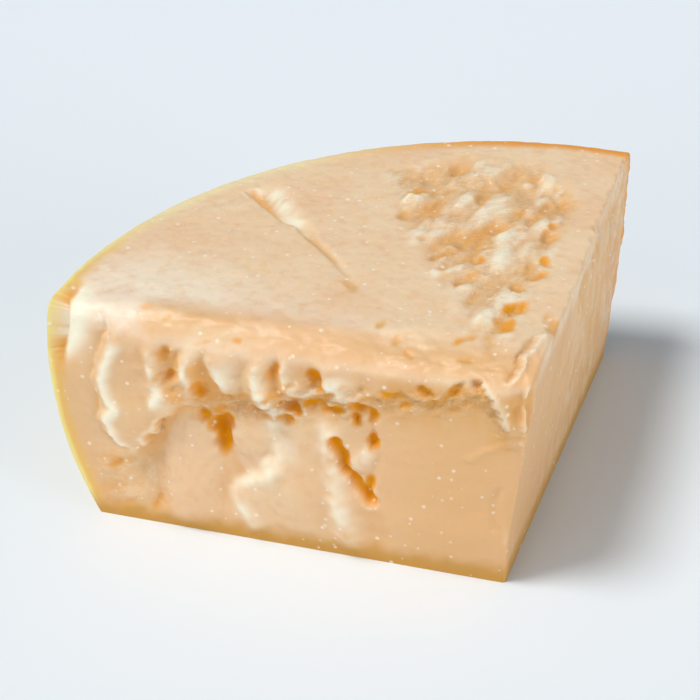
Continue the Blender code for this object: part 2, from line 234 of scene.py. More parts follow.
def soft_max(first, second, rounding):
    """The larger of two, with the corner between them rounded off."""
    near = np.maximum(rounding - np.abs(first - second), 0.0)
    return np.maximum(first, second) + near * near / (4.0 * rounding)


def lattice_noise(places, cell, seed):
    """Smooth noise from -1 to 1: a seeded value at each corner of a cubic lattice, blended."""
    scaled = places / cell + 100.0
    low = np.floor(scaled).astype(np.int64)
    part = scaled - low
    part = part * part * (3.0 - 2.0 * part)
    total = np.zeros(len(places))
    for corner in range(8):
        step = np.array([corner & 1, (corner >> 1) & 1, corner >> 2])
        spot = low + step
        mixed = spot[:, 0] * 73856093 ^ spot[:, 1] * 19349663 ^ spot[:, 2] * 83492791
        mixed = mixed ^ seed * 2654435761
        mixed = (mixed ^ (mixed >> 13)) * 1274126177 & 0x7FFFFFFF
        weight = np.prod(np.where(step == 1, part, 1.0 - part), axis=1)
        total += weight * ((mixed ^ (mixed >> 11)) % 20011 / 10005.0 - 1.0)
    return total


def layered_noise(places, cell, seed, layers):
    """Noise on noise: each layer has half the cell and a little over half the height of the last."""
    total = np.zeros(len(places))
    for layer in range(layers):
        total += 0.55 ** layer * lattice_noise(places, cell / 2 ** layer, seed + 10 * layer)
    return total


def creased_noise(places, cell, seed, layers):
    """Layered noise folded at zero, so it has sharp crests and round hollows, from about -1 to 1."""
    total = np.zeros(len(places))
    for layer in range(layers):
        fold = 1.0 - 2.0 * np.abs(lattice_noise(places, cell / 2 ** layer, seed + 10 * layer))
        total += 0.5 ** layer * fold
    return total / 1.5


def oval_bell(along, up, swell):
    """1 - r^2 over a swell's turned oval, and zero outside it."""
    centre_a, centre_u, half_a, half_u, _, turn = swell
    angle = math.radians(turn)
    side = along - centre_a * MM
    lift = up - centre_u * MM
    across = (side * math.cos(angle) + lift * math.sin(angle)) / (half_a * MM)
    upward = (lift * math.cos(angle) - side * math.sin(angle)) / (half_u * MM)
    return np.clip(1.0 - across ** 2 - upward ** 2, 0.0, 1.0)


def swell_height(along, up, swells):
    """Height added by soft swells and hollows: the rise times (1 - r^2)^1.5 over each oval."""
    height = np.zeros(along.shape)
    for swell in swells:
        height = height + swell[4] * MM * oval_bell(along, up, swell) ** 1.5
    return height


def swell_shares(along, up, swells, ragged):
    """Shares of amber, tawny and ivory that the swells give: amber in narrow deep hollows and tawny
    in wide ones as painted shade, ivory on small swells that stand proud as paler paste and partly
    a painted highlight. The noise frays their outlines."""
    amber = np.zeros(along.shape)
    tawny = np.zeros(along.shape)
    ivory = np.zeros(along.shape)
    for swell in swells:
        bell = oval_bell(along, up, swell)
        frayed = bell * (1.0 + 0.9 * ragged)
        steep = abs(swell[4]) / min(swell[2], swell[3])
        if swell[4] < 0:
            amber = np.maximum(amber, blend(0.05, 0.65, frayed) * blend(0.25, 0.65, steep))
            tawny = np.maximum(tawny, blend(0.0, 0.6, frayed) * blend(0.0, 0.4, steep))
        elif min(swell[2], swell[3]) < 9:
            ivory = np.maximum(ivory, 0.8 * blend(0.0, 1.1, frayed) * blend(0.1, 0.4, steep))
    return amber, tawny, ivory


def edge_at(place, edge):
    """Where a line runs at each place, read between its points in mm, which are in order."""
    starts, ends = np.array(edge).T * MM
    return np.interp(place, starts, ends)


def rolled_step(distance, reach):
    """A step with a sharp foot and a rolled brow: a quarter circle from 0 to 1 over the reach."""
    share = np.clip(distance / reach, 0.0, 1.0)
    return np.sqrt(1.0 - (1.0 - share) ** 2)


def fold_bell(along, up, fold):
    """A bell across a fold's line, steep on its left and slow on its right, fading at its ends."""
    left_width, right_width, _, line = fold
    off = edge_at(up, line) - along
    width = np.where(off < 0, left_width, right_width) * MM
    ends = beyond(line[0][0] * MM, 6 * MM, up) * (1.0 - beyond(line[-1][0] * MM, 6 * MM, up))
    return ends * np.exp(-((off / width) ** 2))


def fold_height(along, up, folds):
    """Height added by folds: each one's rise times its bell."""
    height = np.zeros(along.shape)
    for fold in folds:
        height = height + fold[2] * MM * fold_bell(along, up, fold)
    return height


def line_bell(along, up, line):
    """1 on a crack's or ridge's line, (1 - d^2)^2 beside it, and 0 beyond its width."""
    width, _, points = line
    nearest = np.full(along.shape, WHEEL_RADIUS)
    for (a0, u0), (a1, u1) in zip(points, points[1:]):
        run_a = (a1 - a0) * MM
        run_u = (u1 - u0) * MM
        off_a = along - a0 * MM
        off_u = up - u0 * MM
        share = np.clip((off_a * run_a + off_u * run_u) / (run_a ** 2 + run_u ** 2), 0.0, 1.0)
        nearest = np.minimum(nearest, np.hypot(off_a - share * run_a, off_u - share * run_u))
    return (1.0 - np.clip(nearest / (width * MM), 0.0, 1.0) ** 2) ** 2


def line_height(along, up, lines):
    """Height added by cracks and ridges: each one's rise times its bell."""
    height = np.zeros(along.shape)
    for line in lines:
        height = height + line[1] * MM * line_bell(along, up, line)
    return height


def stretched(places, direction, amount):
    """Places drawn together along one direction, so noise read there runs out along it."""
    heading = np.array(direction) / np.linalg.norm(direction)
    return places - np.outer(places @ heading, heading) * (1.0 - 1.0 / amount)


def chance(places):
    """Every noise the faces need, read once at each point's unbroken place."""
    shifts = []
    for seed in (21, 22):
        wide = layered_noise(places, 15 * MM, seed, 2)
        narrow = layered_noise(places, 4.5 * MM, seed + 2, 2)
        shifts.append(MM * (1.8 * wide + 1.2 * narrow))
    return {
        "shift_a": shifts[0],
        "shift_b": shifts[1],
        "rough": layered_noise(places, 9 * MM, 3, 3),
        "flake": creased_noise(stretched(places, FLAKE_RUN, 2.8), 4 * MM, 5, 2),
        "crumb": creased_noise(places, 6.5 * MM, 6, 3),
        "streak": layered_noise(stretched(places, GRAIN_RUN, 2.6), 7.5 * MM, 7, 3),
        "grain": layered_noise(stretched(places, GRAIN_RUN, 3.2), 3.2 * MM, 8, 2),
        "ribs": creased_noise(stretched(places, (0.0, 0.0, 1.0), 4.5), 5 * MM, 9, 3),
        "wave": lattice_noise(places * np.array([1.0, 1.0, 0.0]), 20 * MM, 11),
        "fine": layered_noise(places, 3 * MM, 13, 2),
        "dents": layered_noise(places, 30 * MM, 15, 3),
    }


def corner_break(places, inward):
    """Slope down to a gap behind the rind slab at the front top corner, fading off inwards."""
    depth = rind_depth(places)
    slope = np.clip(1.0 - (depth - SLAB) / SLAB_SLOPE, 0.0, 1.0) ** 1.3 * beyond(SLAB, 1.2 * MM, depth)
    slope = slope + 0.3 * np.exp(-(((depth - SLAB - 3 * MM) / (3 * MM)) ** 2))
    high = blend(SLAB_FOOT, CHUNK_HEIGHT - 12 * MM, places[:, 2])
    return -SLAB_GAP * slope * high * blend(30 * MM, 0.0, inward)


def corner_crack(places, inward, noise):
    """Share of amber, painted shade, in the crack between the rind slab and the slope behind it."""
    depth = rind_depth(places)
    near = np.exp(-(((depth - SLAB - 2.0 * MM) / (2.2 * MM)) ** 2)) + 0.25 * noise["fine"]
    high = blend(SLAB_FOOT - 4 * MM, SLAB_FOOT + 14 * MM, places[:, 2])
    return 0.75 * high * blend(0.25, 0.85, near) * blend(24 * MM, 8 * MM, inward)


def above_lip(along, up):
    """Height above the lip of the proud upper block, and less than zero below it."""
    return up - edge_at(along, LIP[::-1])


def slow_slope(along, above):
    """1 on the long flaky slope that leads down to the crease between the facets and the knob."""
    across = np.exp(-(((along - 127 * MM) / (14 * MM)) ** 2))
    return across * blend(-2 * MM, 2 * MM, above) * blend(15 * MM, 9 * MM, above)


def facet_share(along, above):
    """1 on the smooth facets above the lip, from the panel to the left part of the block."""
    facets = blend(1 * MM, 5 * MM, above) * blend(172 * MM, 160 * MM, along)
    return facets * blend(58 * MM, 66 * MM, along)


def flaky_share(along, up, above):
    """1 where the front face broke in flakes: under the lip from the panel to the long recess,
    along the lip over the panel, and low down at the left. 0 on the smooth facets."""
    under = blend(58 * MM, 66 * MM, along) * blend(150 * MM, 138 * MM, along)
    under = under * beyond(-9 * MM, 7 * MM, above) * (1.0 - beyond(9 * MM, 6 * MM, above))
    right = blend(64 * MM, 56 * MM, along) * beyond(-7 * MM, 5 * MM, above)
    right = right * (1.0 - beyond(5 * MM, 4 * MM, above))
    low = blend(152 * MM, 164 * MM, along) * blend(194 * MM, 186 * MM, along)
    low = 0.5 * low * blend(4 * MM, 12 * MM, up) * (1.0 - beyond(38 * MM, 7 * MM, up))
    scoop = 0.7 * oval_bell(along, up, (152, 88, 10, 22, 0, 0)) * beyond(4 * MM, 3 * MM, above)
    return np.maximum(np.maximum(under, right), np.maximum(low, scoop))


def front_height(places, noise):
    """Left face, seen from outside. A proud block with a rolled lip hangs over a hollow; the hollow
    ends at the cliff, and past a ridge and a groove a smooth flat panel stands forward again."""
    along = places @ LEFT_ALONG + noise["shift_a"]
    up = places[:, 2] + noise["shift_b"]
    above = above_lip(along, up)
    in_mass = rolled_step(edge_at(up, MASS_EDGE) + 2 * MM - along, 7 * MM)
    off_panel = 1.0 - blend(3 * MM, -2 * MM, along - edge_at(up, PANEL_EDGE)) * blend(
        PANEL_FOOT, PANEL_FOOT + 24 * MM, up)
    past_cliff = blend(-3 * MM, 15 * MM, edge_at(up, CLIFF_EDGE) - along)
    slow = np.exp(-(((along - 127 * MM) / (17 * MM)) ** 2))
    slow = slow + blend(20 * MM, 8 * MM, along)
    brow = rolled_step(above, (3.5 + 6.0 * blend(70 * MM, 140 * MM, along) + 9.0 * slow) * MM) * in_mass
    sunk = HOLLOW_DEPTH * blend(2 * MM, 55 * MM, up) * blend(190 * MM, 168 * MM, along)
    lower = off_panel * (CLIFF_HEIGHT * past_cliff * blend(2 * MM, 34 * MM, up) - sunk)
    lower = lower + swell_height(along, up, LOWER_SWELLS) + fold_height(along, up, LOWER_FOLDS)
    lower = lower + PANEL_HEIGHT * (1.0 - off_panel)
    upper = 2.5 * MM + swell_height(along, up, UPPER_SWELLS) + fold_height(along, up, UPPER_FOLDS)
    height = lower + (upper - lower) * brow + line_height(along, up, FRONT_LINES)
    height = height + fold_height(along, up, [MASS_FOLD])
    broken = off_panel * blend(188 * MM, 180 * MM, along) * blend(10 * MM, 45 * MM, up)
    flaked = flaky_share(along, up, above)
    facets = facet_share(along, above)
    height = height + MM * flaked * (1.0 * (noise["flake"] - 0.3) + 1.1 * (noise["crumb"] - 0.3))
    height = height + MM * facets * (0.35 * (noise["crumb"] - 0.3) + 0.15 * noise["fine"])
    grains = (0.2 * broken + 0.3 * flaked) * noise["rough"] + (0.12 + 0.2 * flaked) * noise["fine"]
    height = height + MM * grains
    return height * blend(0.0, STRAIGHT_FOOT, places[:, 2]) + corner_break(places, 0.0)


def front_shares(places, noise):
    """Shares of amber, tawny, ivory and crumbs on the left face, from the same shapes. Amber and tawny
    are mostly painted shade in its hollows, groove, flakes, crease and under its lip, and ivory is
    mostly a painted highlight on its crests, folds and lit edges.
    """
    along = places @ LEFT_ALONG + noise["shift_a"]
    up = places[:, 2] + noise["shift_b"]
    above = above_lip(along, up)
    flaked = flaky_share(along, up, above)
    brow = blend(-2 * MM, 4 * MM, above)
    ragged = 0.5 * noise["rough"] + 0.7 * noise["fine"]
    amber, tawny, ivory = swell_shares(along, up, LOWER_SWELLS, ragged)
    upper_amber, upper_tawny, _ = swell_shares(along, up, UPPER_SWELLS, ragged)
    amber = np.maximum(amber * (1.0 - brow), upper_amber * brow)
    tawny = np.maximum(tawny * (1.0 - brow), upper_tawny * brow)
    # Painted shade: amber in the groove and in the low places of the flakes; amber spots also on the long
    # flaky slope.
    groove = line_bell(along, up, FRONT_LINES[0]) * (1.0 + 0.4 * noise["rough"])
    amber = np.maximum(amber, blend(0.1, 0.6, groove))
    amber = np.maximum(amber, 0.85 * flaked * blend(0.3, -0.4, noise["flake"] + 0.4 * noise["fine"]))
    amber = np.maximum(amber, 0.5 * slow_slope(along, above) * blend(0.4, -0.2, noise["crumb"]))
    # Tawny: painted shade in the crumbs' low places where it broke in flakes, in the crease under the lip
    # and, with mottling, on the facets; the long flaky slope is tawny all over.
    tawny = np.maximum(tawny, flaked * blend(0.9, 0.0, noise["crumb"]))
    tawny = np.maximum(tawny, 0.8 * slow_slope(along, above))
    crease = np.exp(-((above / (2.2 * MM)) ** 2)) * blend(178 * MM, 165 * MM, along)
    tawny = np.maximum(tawny, crease * blend(98 * MM, 112 * MM, along))
    facets = facet_share(along, above)
    tawny = np.maximum(tawny, 0.35 * facets * blend(0.6, 0.0, noise["crumb"]))
    # Painted shade: tawny streaks hanging under the lip over the panel.
    under_lip_shade = blend(0.0, 0.9, noise["ribs"]) * blend(-22 * MM, -4 * MM, above)
    tawny = np.maximum(tawny, 0.8 * (under_lip_shade * blend(60 * MM, 52 * MM, along)))
    # Painted highlight, on paste that is partly paler there: ivory along the folds' crests, the proud block's
    # left flank and the rim above the lip, broken up by noise.
    for fold in UPPER_FOLDS:
        ivory = np.maximum(ivory, brow * fold_bell(along, up, fold) ** 2.5)
    for fold in LOWER_FOLDS:
        worn = blend(-1.4, 0.6, noise["rough"] + 0.5 * noise["fine"])
        ivory = np.maximum(ivory, 0.85 * (1.0 - brow) * worn * fold_bell(along, up, fold))
    ivory = np.maximum(ivory, fold_bell(along, up, MASS_FOLD) ** 1.5)
    rim = np.exp(-(((above - 3 * MM) / (1.4 * MM)) ** 2)) * blend(60 * MM, 68 * MM, along)
    ivory = np.maximum(ivory, 0.6 * rim * blend(108 * MM, 98 * MM, along))
    ivory = ivory * blend(-2.2, -0.6, noise["rough"])
    # Painted highlight: ivory where the face rolls over into the top.
    bevel_highlight = blend(102 * MM, 105 * MM, up) * blend(90 * MM, 120 * MM, along)
    ivory = np.maximum(ivory, 0.4 * bevel_highlight * blend(-0.4, 0.6, noise["rough"]))
    # Painted highlight: ivory on the slope behind the rind slab at the front top corner. Painted shade: amber
    # in the crack behind the slab.
    corner = corner_break(places, 0.0) / -SLAB_GAP
    crack = corner_crack(places, 0.0, noise)
    amber = np.maximum(amber, crack)
    ivory = np.maximum(ivory, blend(0.05, 0.5, corner)) * (1.0 - amber)
    return np.stack([amber, tawny, ivory, np.maximum(flaked, crack)])


def lean_at(along, up):
    """How far the right face leans out: most at the top by the inner corner, none at the rind."""
    lean = RIGHT_LEAN * blend(0.1 * CHUNK_HEIGHT, 0.9 * CHUNK_HEIGHT, up)
    return lean * blend(0.9 * WHEEL_RADIUS, 0.15 * WHEEL_RADIUS, along)


def right_height(places, noise):
    """Right face: it leans out at the top by the inner corner and is ribbed farther out."""
    along = places @ RIGHT_ALONG
    up = places[:, 2]
    ribs = 1.5 * MM * blend(0.15 * WHEEL_RADIUS, 0.5 * WHEEL_RADIUS, along)
    ribs = 0.3 * MM + ribs * blend(0.1 * CHUNK_HEIGHT, 0.6 * CHUNK_HEIGHT, up)
    swells = swell_height(along + 0.5 * noise["shift_a"], up + 0.5 * noise["shift_b"], RIGHT_SWELLS)
    height = swells + lean_at(along, up) + ribs * (noise["ribs"] - 0.3) + 0.15 * MM * noise["fine"]
    return height * blend(0.0, STRAIGHT_FOOT, up)


def patch_share(right, back, places):
    """1 inside the rough patch in the top and 0 outside it, changing over its soft rim."""
    inside = beyond(PATCH_LEFT, PATCH_RIM, right - PATCH_SLANT * back)
    inside = inside * beyond(PATCH_FRONT, PATCH_RIM, back) * (1.0 - beyond(PATCH_RIGHT, 5 * MM, right))
    inside = inside * beyond(PATCH_SIDE_MARGIN, 4 * MM, -(places @ RIGHT_OUT))
    return inside * (1.0 - beyond(WHEEL_RADIUS - PATCH_RIND_MARGIN, PATCH_RIM, np.hypot(right, back)))


def patch_height(right, back, places, noise):
    """Rough patch in the top: soft streaks along the grain, and small roughness on them."""
    streaks = STREAK_HEIGHT * (noise["streak"] - 0.4) + 0.6 * MM * noise["grain"] + 0.3 * MM * noise["rough"]
    return patch_share(right, back, places) * streaks


def split_height(right, back, noise):
    """The long split: a steep wall on its left, a slope on its right that narrows inwards."""
    off = right - edge_at(back, SPLIT)
    open_end = blend(SPLIT_START + 3 * MM, SPLIT_START - 3 * MM, back) * blend(SPLIT_END, 130 * MM, back)
    wide = np.clip((back - 132 * MM) / (50 * MM), 0.0, 1.0)
    width = SPLIT_THIN + (1.0 - SPLIT_THIN) * wide
    wall = blend(-SPLIT_WALL, 0.0, off)
    slope = np.clip(1.0 - off / (SPLIT_SLOPE * width), 0.0, 1.0)
    slope = slope * (1.0 + 0.25 * noise["rough"] * (1.0 - wide))
    return -SPLIT_DEPTH * (0.35 + 0.65 * wide) * open_end * wall * slope


def worn_roll(places, noise):
    """How far the top's front edge rolls down, before anything has broken off it: short and round
    over the proud block, longer and flatter over the panel, and nowhere straight."""
    reach = SHOULDER_REACH + SHOULDER_SLOW * blend(85 * MM, 50 * MM, places @ LEFT_ALONG)
    reach = reach * (1.0 + 0.35 * noise["wave"] + 0.25 * noise["rough"])
    roll = np.clip(1.0 + places @ LEFT_OUT / reach, 0.0, 1.5) ** 2
    from_axis = np.hypot(places[:, 0], places[:, 1])
    return SHOULDER_DROP * roll * blend(WHEEL_RADIUS, 0.8 * WHEEL_RADIUS, from_axis)


def top_height(places, noise):
    """Top: a smooth left half, a long split, a rough patch at the right and a rolled front edge."""
    right = places[:, 0] + noise["shift_a"]
    back = places[:, 1] + noise["shift_b"]
    small = 0.25 * MM * noise["rough"] + 0.12 * MM * noise["fine"]
    split = split_height(places[:, 0] + 0.4 * noise["shift_a"], back, noise)
    corner = 0.7 * corner_break(places, -(places @ LEFT_OUT))
    broken = WEAR * swell_height(right, back, TOP_SWELLS) + line_height(right, back, TOP_LINES)
    broken = broken + patch_height(right, back, places, noise) + split + small + corner
    return broken - worn_roll(places, noise) * (1.0 + 0.25 * noise["rough"])


def top_shares(places, noise):
    """Shares of amber, tawny, ivory and crumbs on the top, from the same shapes. Amber and tawny are
    painted shade in its hollows, low streaks, split and pits, and ivory a painted highlight on its
    crests, high streaks, the split's slow slope, the front edge and the broken corner.
    """
    right = places[:, 0] + noise["shift_a"]
    back = places[:, 1] + noise["shift_b"]
    patch = patch_share(right, back, places)
    amber, tawny, ivory = swell_shares(right, back, TOP_SWELLS, 0.3 * noise["rough"] + 0.9 * noise["grain"])
    # Painted shade, amber and tawny, in the rough patch's low streaks, and a painted highlight, ivory, on its
    # high ones.
    mixed = noise["streak"] + 0.7 * noise["grain"]
    amber = np.maximum(amber * blend(0.35, 0.95, 0.5 + 0.5 * mixed), 0.5 * patch * blend(-0.3, -1.3, mixed))
    tawny = np.maximum(tawny, 0.8 * patch * blend(0.4, -0.8, mixed))
    ivory = np.maximum(ivory, 0.65 * patch * blend(0.1, 1.1, mixed))
    # Painted shade: amber and tawny down the split.
    gully = split_height(places[:, 0] + 0.4 * noise["shift_a"], back, noise) / -SPLIT_DEPTH
    opening = blend(130 * MM, 156 * MM, back + 4 * MM * noise["rough"])
    amber = np.maximum(amber, 0.8 * blend(0.7, 0.95, gully + 0.1 * noise["fine"]) * opening)
    tawny = np.maximum(tawny, np.maximum(blend(0.55, 0.8, gully), blend(0.1, 0.35, gully) * (1.0 - opening)))
    # Painted highlight: ivory on the split's slow slope, which faces the key light.
    split_slope_highlight = blend(0.0, 0.35, gully + 0.1 * noise["rough"]) * blend(0.8, 0.5, gully) * opening
    ivory = np.maximum(ivory, 0.8 * split_slope_highlight * blend(-1.4, 0.3, noise["grain"]))
    # Along the top's front edge: amber dashes painted as the shade of small pits, and ivory as a painted
    # highlight.
    edge = blend(-14 * MM, -5 * MM, places @ LEFT_OUT) * blend(90 * MM, 120 * MM, places @ LEFT_ALONG)
    amber = np.maximum(amber, 0.6 * edge * blend(0.5, 1.1, noise["rough"] + 0.4 * noise["fine"]))
    ivory = np.maximum(ivory, 0.25 * edge * blend(-0.4, 0.6, noise["rough"]))
    # Painted highlight on the corner's slope behind the rind slab, painted shade in the crack behind it.
    corner = corner_break(places, -(places @ LEFT_OUT)) / -SLAB_GAP
    amber = np.maximum(amber, corner_crack(places, -(places @ LEFT_OUT), noise))
    ivory = np.maximum(ivory, blend(0.05, 0.5, corner)) * (1.0 - amber)
    return np.stack([amber, tawny, ivory, 0.6 * patch])


def side_shares(places, noise):
    """Shares of amber, tawny, ivory and crumbs on the right face, from its notch and its ribs: amber
    and tawny painted shade in the notch and between the ribs, ivory a painted highlight on the ribs'
    crests.
    """
    along = places @ RIGHT_ALONG + 0.5 * noise["shift_a"]
    up = places[:, 2] + 0.5 * noise["shift_b"]
    notch, _, _ = swell_shares(along, up, RIGHT_SWELLS[:1], noise["rough"])
    outer = blend(0.15 * WHEEL_RADIUS, 0.5 * WHEEL_RADIUS, along)
    # Painted shade between the ribs and in the notch, painted highlight on the ribs' crests.
    tawny = np.maximum(0.5 * outer * blend(0.3, -0.4, noise["ribs"]), 0.4 * notch)
    amber = 0.2 * notch
    ivory = 0.3 * outer * blend(0.4, 1.0, noise["ribs"])
    return np.stack([amber, tawny, ivory, 0.2 * outer])


def colour_shares(places, noise):
    """Each point's shares, from the face that it lies on, blended where two faces meet."""
    on_top = blend(-9 * MM, -2 * MM, places[:, 2] - CHUNK_HEIGHT + worn_roll(places, noise))
    on_side = blend(-4 * MM, -0.5 * MM, places @ RIGHT_OUT) * (1.0 - on_top)
    on_front = blend(-14 * MM, -9 * MM, places @ LEFT_OUT) * (1.0 - on_top) * (1.0 - on_side)
    faces = on_top * top_shares(places, noise) + on_side * side_shares(places, noise)
    return faces + on_front * front_shares(places, noise)


def rind_radius(up):
    """The barrel side: widest at the belly, drawn in to the flat underside."""
    return WHEEL_RADIUS - BELLY_DROP * ((up - BELLY_HEIGHT) / CHUNK_HEIGHT) ** 2


def rind_depth(places):
    """How far in from the barrel side each place lies, and less than zero outside it."""
    return rind_radius(places[:, 2]) - np.hypot(places[:, 0], places[:, 1])


def outside_by(places, noise):
    """How far a place lies outside the chunk, and less than zero where it lies inside it."""
    top = places[:, 2] - CHUNK_HEIGHT - top_height(places, noise)
    front = places @ LEFT_OUT - front_height(places, noise)
    right = places @ RIGHT_OUT - right_height(places, noise)
    rind = -rind_depth(places) - 0.3 * MM * noise["dents"] * blend(0.0, STRAIGHT_FOOT, places[:, 2])
    sides = soft_max(soft_max(front, top, FRONT_ROUNDING), right, EDGE_ROUNDING)
    return soft_max(sides, rind, RIND_ROUNDING)


def outside_worn(places, noise):
    """The same for a chunk worn smooth, with its rolled edge and lean but nothing broken off it."""
    top = places[:, 2] - CHUNK_HEIGHT + worn_roll(places, noise)
    right = places @ RIGHT_OUT - lean_at(places @ RIGHT_ALONG, places[:, 2])
    sides = soft_max(soft_max(places @ LEFT_OUT, top, FRONT_ROUNDING), right, EDGE_ROUNDING)
    return soft_max(sides, -rind_depth(places), RIND_ROUNDING)


def core_point(places):
    """The nearest point of a smaller wedge set inside the chunk by CORE_INSET."""
    core = places.copy()
    for out in (LEFT_OUT, RIGHT_OUT):
        short = np.maximum(CORE_INSET + core @ out, 0.0)
        core -= short[:, None] * out
    radius = np.hypot(core[:, 0], core[:, 1])
    shrink = np.minimum(1.0, (rind_radius(0.0) - CORE_INSET) / radius)
    core[:, :2] *= shrink[:, None]
    core[:, 2] = np.minimum(core[:, 2], CHUNK_HEIGHT - CORE_INSET)
    return core


def reach_of(rule, core, ray, length, noise):
    """How far along each ray the surface lies, by halving the stretch that holds it."""
    near = np.zeros(len(length))
    far = length + RAY_REACH
    for _ in range(RAY_HALVINGS):
        middle = (near + far) / 2
        outside = rule(core + middle[:, None] * ray, noise) > 0
        far = np.where(outside, middle, far)
        near = np.where(outside, near, middle)
    return (near + far) / 2


def settle(places):
    """Slide each point along its ray from the core until it lies on the broken surface. Gives the
    new places, how far each stands out (+) or in (-) from the chunk worn smooth, and its shares."""
    core = core_point(places)
    noise = chance(places)
    ray = places - core
    length = np.linalg.norm(ray, axis=1)
    ray /= length[:, None]
    reached = reach_of(outside_by, core, ray, length, noise)
    worn = reach_of(outside_worn, core, ray, length, noise)
    settled = core + reached[:, None] * ray
    return settled, reached - worn, colour_shares(settled, noise)


def sector_point(across, deep):
    """A place in the unit sector from its two grid shares: a square pressed onto a quarter disc."""
    flat_x = across * np.sqrt(1.0 - deep ** 2 / 2)
    flat_y = deep * np.sqrt(1.0 - across ** 2 / 2)
    angle = np.arctan2(flat_y, flat_x) * WEDGE_ANGLE / (math.pi / 2) + math.pi / 2 - HALF_ANGLE
    radius = np.hypot(flat_x, flat_y)
    return radius * np.cos(angle), radius * np.sin(angle)


def row_heights():
    """Heights of the side faces' rows: close together where the upper half is broken."""
    share = np.linspace(0.0, 1.0, HEIGHT_CELLS + 1)
    return CHUNK_HEIGHT * (share + ROW_CROWDING * np.sin(math.pi * share) * (1.0 - share) ** 0.5)


def wedge_sheets():
    """The unbroken wedge's top, right face, rind and left face, each a grid (rows, columns, 3)
    whose columns run anticlockwise seen from above."""
    shares = np.linspace(0.0, 1.0, SIDE_CELLS + 1)
    deep, across = np.meshgrid(shares, shares, indexing="ij")
    sector_x, sector_y = sector_point(across, deep)
    top_radius = rind_radius(CHUNK_HEIGHT)
    top_z = np.full(deep.shape, CHUNK_HEIGHT)
    sheets = [np.stack([sector_x * top_radius, sector_y * top_radius, top_z], axis=-1)]
    arc_x = np.concatenate([sector_x[:-1, -1], sector_x[-1, ::-1]])
    arc_y = np.concatenate([sector_y[:-1, -1], sector_y[-1, ::-1]])
    rise = row_heights()[:, None]
    radius = rind_radius(rise)
    lines = ((sector_x[0], sector_y[0]), (arc_x, arc_y), (sector_x[::-1, 0], sector_y[::-1, 0]))
    for line_x, line_y in lines:
        tall = np.repeat(rise, len(line_x), axis=1)
        sheets.append(np.stack([radius * line_x, radius * line_y, tall], axis=-1))
    return sheets


def grid_faces(indices):
    """Four-sided faces of a grid of point numbers, facing the viewer its rows and columns face."""
    low = indices[:-1]
    high = indices[1:]
    return np.stack([low[:, :-1], low[:, 1:], high[:, 1:], high[:, :-1]], axis=-1).reshape(-1, 4)


def body_mesh():
    """Settle all four sheets at once with one point for each shared seam place, and close the flat
    underside with a fan. Gives the mesh, how far each of its points has moved, and its shares."""
    sheets = wedge_sheets()
    flat = np.concatenate([sheet.reshape(-1, 3) for sheet in sheets])
    spots = np.floor(flat / WELD + 0.371).astype(np.int64)
    _, keep, shared = np.unique(spots, axis=0, return_index=True, return_inverse=True)
    shared = shared.ravel()
    places, moved, shares = settle(flat[keep])
    firsts = np.cumsum([0] + [sheet.shape[0] * sheet.shape[1] for sheet in sheets])
    grids = [shared[firsts[k]:firsts[k + 1]].reshape(sheets[k].shape[:2]) for k in range(len(sheets))]
    ring = np.concatenate([grid[0, :-1] for grid in grids[1:]])
    middle = np.full(ring.shape, len(places))
    fan = np.stack([middle, np.roll(ring, -1), ring], axis=-1)
    places = np.concatenate([places, [[0.0, WHEEL_RADIUS / 2, 0.0]]]) + AXIS
    faces = [face for grid in grids for face in grid_faces(grid).tolist()] + fan.tolist()
    mesh = bpy.data.meshes.new("cheese_body")
    mesh.from_pydata(places, [], faces)
    return mesh, np.append(moved, 0.0), np.pad(shares, ((0, 0), (0, 1)))


def read_points(kind, group, width):
    """One value of every vertex, edge or face as an array with that many columns."""
    values = np.zeros(len(group) * width, dtype=np.int32 if kind == "vertices" else np.float32)
    group.foreach_get(kind, values)
    return values.reshape(-1, width)


def smoothed(values, pairs, counts, rounds):
    """Each point's value pulled halfway to its neighbours' mean, over and over."""
    for _ in range(rounds):
        total = np.bincount(pairs[:, 0], weights=values[pairs[:, 1]], minlength=len(values))
        total += np.bincount(pairs[:, 1], weights=values[pairs[:, 0]], minlength=len(values))
        values = 0.5 * values + 0.5 * total / counts
    return values


